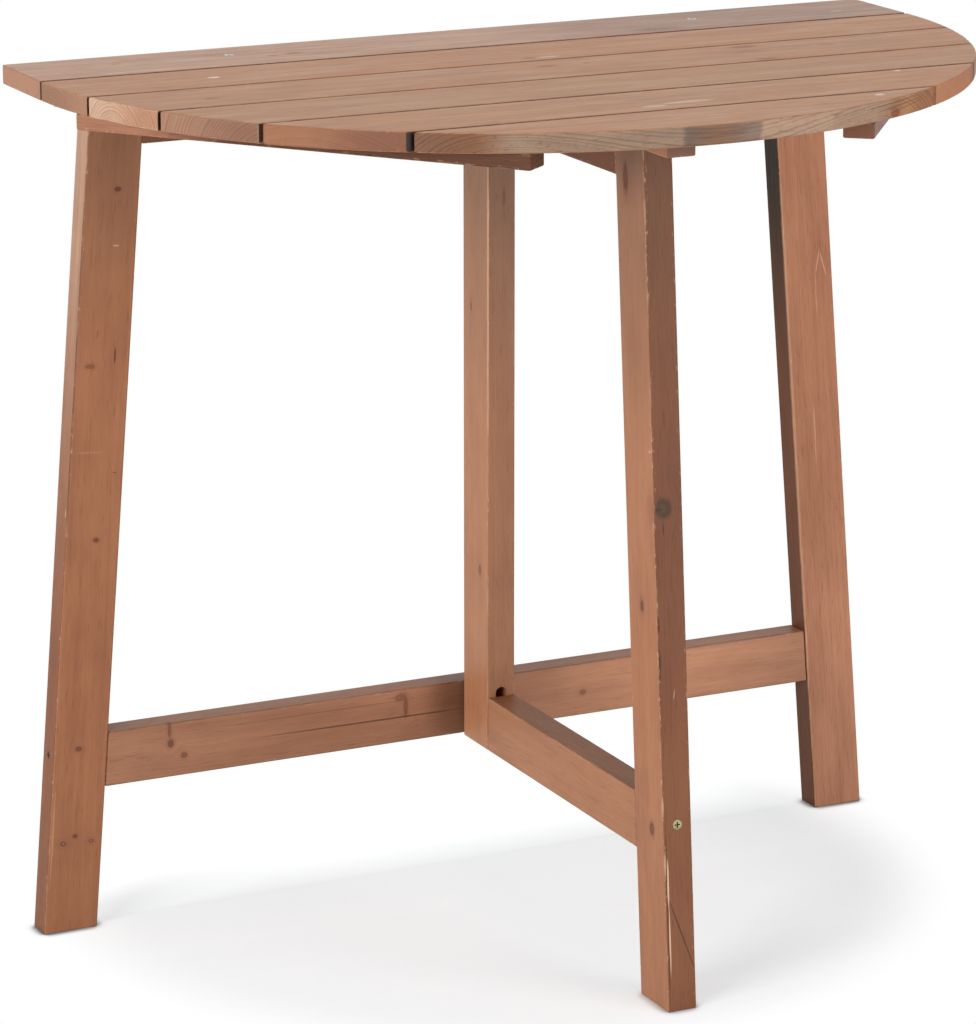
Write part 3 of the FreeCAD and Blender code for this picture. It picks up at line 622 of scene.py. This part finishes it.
battens = {
    "left_batten": {
        "gloss": 0.10,
        "early": (0.400, 0.192, 0.112),
        # painted shade: darker towards the front end, under the leaf
        "patches": (stainAndShadePatch((-70, 0, 0), (210, 60, 60), (0.33, 0.29, 0.27), (0.6, 1.0)),),
    },
    "right_batten": {"early": (0.24, 0.096, 0.054), "ends": (0.20, 0.080, 0.046), "endLines": 0.4},
    "centre_batten": {"ringWidth": 2.0, "ends": (0.205, 0.108, 0.074), "endLines": 0.6},
}
for index, (name, look) in enumerate(battens.items()):
    timber(name, seed=41.0 + 2.9 * index, plane="XY", **look)

# Gate

gatePost = {
    **softGrain,
    # painted light: the side facing the lamp on the left is painted paler; the front is a little darker
    "faces": {"w-": (1.32, 1.38, 1.37), "v-": (0.92, 0.97, 1.0)},
    # painted shade: darker at the top, under the tabletop
    "patches": (stainAndShadePatch((310, 0, 0), (360, 80, 80), (0.62, 0.70, 0.74), (0.3, 1.0)),),
    "knots": (
        {"at": (-140, -9, -13), "size": (6, 3.2, 7), "strength": 0.6},
        {"at": (89, 8.3, -13), "size": (5, 1.5, 4), "strength": 0.75},
        {"at": (187, -24, 2.3), "size": (11, 4, 1.7), "strength": 0.65},
    ),
    "slits": ({"at": (-275, -24, -13), "size": (25, 1.0, 2), "strength": 0.5},),
    # painted highlight: a pale line along the front corner
    "chipsAndHighlights": ({"at": (120, -24, -13), "size": (200, 1.5, 1.5), "strength": 0.45, "colour": paleScratchAndHighlight},),
}
timber("gate_post", seed=61.0, plane="YZ", **gatePost)

gateLeg = {
    **softGrain,
    "wear": 0.4,
    "nicks": 0.45,
    "gloss": 0.25,
    # the front face is a darker board; the side facing the lamp on the left is painted paler, as light
    "faces": {"v-": (0.63, 0.55, 0.49), "w-": (1.20, 1.24, 1.26)},
    "patches": (
        # painted shade: darker at the top, under the tabletop, and more so on the side
        stainAndShadePatch((370, 0, 0), (330, 80, 80), (0.66, 0.74, 0.79), (0.2, 1.0)),
        stainAndShadePatch((370, 0, -13), (75, 80, 80), (0.58, 0.60, 0.62), (0.2, 1.0), "w-"),
        stainAndShadePatch((20, -24, 0), (190, 60, 60), (0.84, 0.85, 0.91), (0.2, 1.0), "v-"),
        stainAndShadePatch((-290, -24, 0), (220, 60, 60), (1.10, 1.17, 1.24), (0.2, 1.0), "v-"),
    ),
    "knots": (
        {"at": (51, -24.1, -4.2), "size": (10.4, 9, 9.4), "strength": 0.96,
         "dark": (0.075, 0.037, 0.017), "light": (0.125, 0.056, 0.026)},
        {"at": (313, 6.9, -13), "size": (15, 5.0, 6), "strength": 0.95},
        {"at": (-31, 0.9, -13), "size": (6.5, 3.4, 7), "strength": 0.8},
        {"at": (-214, -4.7, -13), "size": (6.5, 4.2, 6), "strength": 0.7},
    ),
    "slits": (
        {"at": (-301, -24.1, 1.6), "size": (40, 3, 1.0), "lean": (0, -0.353), "strength": 0.65},
        {"at": (-280, -24.1, -10.9), "size": (90, 3, 0.8), "strength": 0.7},
        {"at": (-43, -24.1, -11.5), "size": (7, 3, 1.0)},
        {"at": (50, -24.1, -8.5), "size": (1.1, 3, 4.2), "strength": 0.8},
        {"at": (34, -24.1, -4.9), "size": (6, 3, 0.9), "strength": 0.5},
        {"at": (-76, -24.1, -11.5), "size": (16, 3, 1.2)},
        {"at": (-214, 24.1, -13), "size": (27, 1.3, 2), "strength": 0.8},
    ),
    "chipsAndHighlights": (
        {"at": (-256, -24.1, -9.9), "size": (26, 3, 0.9), "colour": (0.86, 0.60, 0.43)},
        {"at": (-307, -24.1, -9.6), "size": (36, 3, 0.8), "colour": (0.86, 0.60, 0.43)},
        {"at": (-240, -24.1, -12.0), "size": (14, 3, 1.0), "strength": 0.6},
        {"at": (-192, -24.1, -12.4), "size": (9, 3, 0.9), "strength": 0.5},
        {"at": (-101, -24, 0.4), "size": (5, 2, 0.8), "lean": (0, 0.15), "strength": 0.4},
        {"at": (97, -20, -13), "size": (1.2, 2.2, 2), "strength": 0.6},
    ),
}
timber("gate_leg", seed=63.9, plane="YZ", **gateLeg)
# the gate rail sits under the tabletop: its colour is darkened as painted shade
shadedGateRail = {**softGrain, "early": (0.190, 0.084, 0.046), "gloss": 0.10}
timber("gate_rail", seed=66.8, plane="YZ", **shadedGateRail)
gateStretcher = {
    **softGrain,
    "gloss": 0.20,
    "early": (0.54, 0.248, 0.130),
    "faces": {"v+": (0.68, 0.61, 0.50)},
}
timber("gate_stretcher", seed=69.7, plane="YZ", **gateStretcher)
print("timber dressed")


# Metal: zinc-plated hinges and yellow-passivated screws

# painted shade in the hollows of the metal parts
recessShade = (0.012, 0.011, 0.007)
recessReach = 0.002  # metres
scratchRelief = {"Strength": 0.15, "Distance": 0.0002}


def plated(name, colour, tarnish, roughness):
    material, start = newMaterial(name)
    coordinates = start.node("TexCoord", output="Object")
    inMillimetres = vectorMaths("SCALE", coordinates, scale=perMetre)
    cloud = grainNoise(inMillimetres, "tarnish")
    scratches = grainNoise(inMillimetres, "scratches")
    base = mixColour(rise(cloud, 0.35, 0.75), colour, tarnish)
    # the hollows of each screw and hinge, such as a head's recess, are painted dark as shade, by how closed
    # in they are
    nearby = {"only_local": True, "samples": 12}
    openness = start.node("AmbientOcclusion", nearby, {"Distance": recessReach}, "AO")
    base = mixColour(fall(openness, 0.45, 0.9), base, recessShade)
    rough = roughness + (cloud - 0.5) * 0.25 + (scratches - 0.5) * 0.15
    bump = start.node("Bump", {}, {**scratchRelief, "Height": scratches})
    surface = {"Base Color": base, "Metallic": 1.0, "Roughness": rough, "Normal": bump}
    start.node("OutputMaterial", {}, {"Surface": start.node("BsdfPrincipled", {}, surface)})
    return material


hingeZinc = {"colour": (0.62, 0.62, 0.60), "tarnish": (0.46, 0.46, 0.45), "roughness": 0.36}
screwZinc = {"colour": (0.33, 0.32, 0.17), "tarnish": (0.20, 0.19, 0.10), "roughness": 0.42}
paleZinc = {"colour": (0.62, 0.62, 0.58), "tarnish": (0.42, 0.40, 0.36), "roughness": 0.36}
stainedZinc = {"colour": (0.22, 0.085, 0.045), "tarnish": (0.11, 0.040, 0.022), "roughness": 0.50}
hingeMetal = plated("hingeZinc", **hingeZinc)
gateScrewMetal = plated("screwZinc", **screwZinc)
screwMetal = plated("paleZinc", **paleZinc)
legScrewMetal = plated("stainedZinc", **stainedZinc)
for name in nodes:
    if name == "gate_screws":
        dress(name, gateScrewMetal)
    elif name == "leg_screws":
        dress(name, legScrewMetal)
    elif name.endswith("_screws"):
        dress(name, screwMetal)
    elif "_hinge_" in name:
        dress(name, hingeMetal)
print("metal dressed")


# Floor, light and camera

studio = {
    "floorSize": 24.0,
    "floorBounce": 0.72,       # what the floor gives back to the table
    "floorShow": 0.75,         # how strongly its shadows show
    "floorGlow": (0.495, 0.517, 0.528),  # the rest of its white, for the camera alone
    "floorPlain": (0.31, 0.41),  # metres from the half round's middle where it turns plain white
    "contactReach": 0.011,     # metres of painted contact shadow round the feet
    "contactShadowTone": (0.12, 0.12, 0.13),
    "sky": 0.24,
    "overheadPlace": (0.0, 0.0, 10.0),
    "overheadWidth": 1.4,
    "overheadPower": 400.0,
    "keyPlace": (-2.7, -1.3, 0.95),
    "keyWidth": 1.4,
    "keyPower": 60.0,
    "fillPlace": (1.9, -3.0, 1.0),
    "fillWidth": 1.8,
    "fillPower": 46.0,
    "aim": (0.0, 0.0, 0.42),
}


def seenRay(start):
    # what the camera sees, straight or in a reflection, apart from what lights the table
    path = start.node("LightPath", output="Is Camera Ray")
    mirrored = start.maths("MAXIMUM", path.other("Is Glossy Ray"), path.other("Is Transmission Ray"))
    return start.maths("MAXIMUM", path, mirrored)


def buildFloor():
    size = studio["floorSize"] / 2
    mesh = bpy.data.meshes.new("floor")
    corners = [(-size, -size, 0), (size, -size, 0), (size, size, 0), (-size, size, 0)]
    mesh.from_pydata(corners, [], [(0, 1, 2, 3)])
    floor = bpy.data.objects.new("floor", mesh)
    bpy.context.scene.collection.objects.link(floor)
    material, start = newMaterial("paleFloor")
    bounce = start.node("BsdfDiffuse", {}, {"Color": (*[studio["floorBounce"]] * 3, 1)})
    shadow = start.node("BsdfDiffuse", {}, {"Color": (*[studio["floorShow"]] * 3, 1)})
    # painted contact shadow: the floor's shown white darkens close to the feet
    openness = start.node("AmbientOcclusion", {"samples": 8}, {"Distance": studio["contactReach"]}, "AO")
    contactShadow = fall(openness, 0.5, 0.95)
    glowColour = mixColour(contactShadow, studio["floorGlow"], studio["contactShadowTone"])
    glow = start.node("Emission", {}, {"Color": glowColour, "Strength": 1.0})
    near = start.node("AddShader", {}, {0: shadow, 1: glow})
    whiteColour = mixColour(contactShadow, (1, 1, 1), studio["contactShadowTone"])
    white = start.node("Emission", {}, {"Color": whiteColour, "Strength": 1.0})
    roundMiddle = (0, hingeLine.y / perMetre, 0)
    fromRound = vectorMaths("SUBTRACT", start.node("TexCoord", output="Object"), roundMiddle)
    plain = rise(length(fromRound), *studio["floorPlain"])
    shown = start.node("MixShader", {}, {0: plain, 1: near, 2: white})
    surface = start.node("MixShader", {}, {0: seenRay(start), 1: bounce, 2: shown})
    below = start.node("NewGeometry", output="Backfacing")
    clear = start.node("BsdfTransparent")
    seenThrough = start.node("MixShader", {}, {0: below, 1: surface, 2: clear})
    start.node("OutputMaterial", {}, {"Surface": seenThrough})
    mesh.materials.append(material)


def buildSky():
    world = bpy.data.worlds.new("studioSky")
    bpy.context.scene.world = world
    world.use_nodes = True
    world.node_tree.nodes.clear()
    start = Wire(world.node_tree)
    light = start.node("Background", {}, {"Color": (1, 1, 1, 1), "Strength": studio["sky"]})
    white = start.node("Background", {}, {"Color": (1, 1, 1, 1), "Strength": 1.0})
    surface = start.node("MixShader", {}, {0: seenRay(start), 1: light, 2: white})
    start.node("OutputWorld", {}, {"Surface": surface})


def softbox(name, place, width, power):
    lamp = bpy.data.lights.new(name, "AREA")
    lamp.shape = "SQUARE"
    lamp.size = width
    lamp.energy = power
    holder = bpy.data.objects.new(name, lamp)
    bpy.context.scene.collection.objects.link(holder)
    holder.location = place
    holder.rotation_euler = (Vector(studio["aim"]) - Vector(place)).to_track_quat("-Z", "Y").to_euler()


buildFloor()
buildSky()
for lamp in ("overhead", "key", "fill"):
    softbox(lamp + "Softbox", studio[lamp + "Place"], studio[lamp + "Width"], studio[lamp + "Power"])
bpy.context.scene.view_settings.view_transform = "Standard"

view = {
    "place": (-1.6108, -3.1521, 1.3433),
    "azimuth": -25.90,
    "elevation": 15.32,
    "focalPixels": 4456,
    "imageHeight": 1024,
    "clipEnd": 100,
}


def buildCamera():
    camera = bpy.data.cameras.new("photoCamera")
    camera.lens = camera.sensor_width * view["focalPixels"] / view["imageHeight"]
    camera.clip_end = view["clipEnd"]
    holder = bpy.data.objects.new("photoCamera", camera)
    bpy.context.scene.collection.objects.link(holder)
    azimuth, elevation = math.radians(view["azimuth"]), math.radians(view["elevation"])
    level = math.cos(elevation)
    back = Vector((math.sin(azimuth) * level, -math.cos(azimuth) * level, math.sin(elevation)))
    holder.location = view["place"]
    holder.rotation_euler = (-back).to_track_quat("-Z", "Y").to_euler()
    bpy.context.scene.camera = holder


buildCamera()
print("studio built")
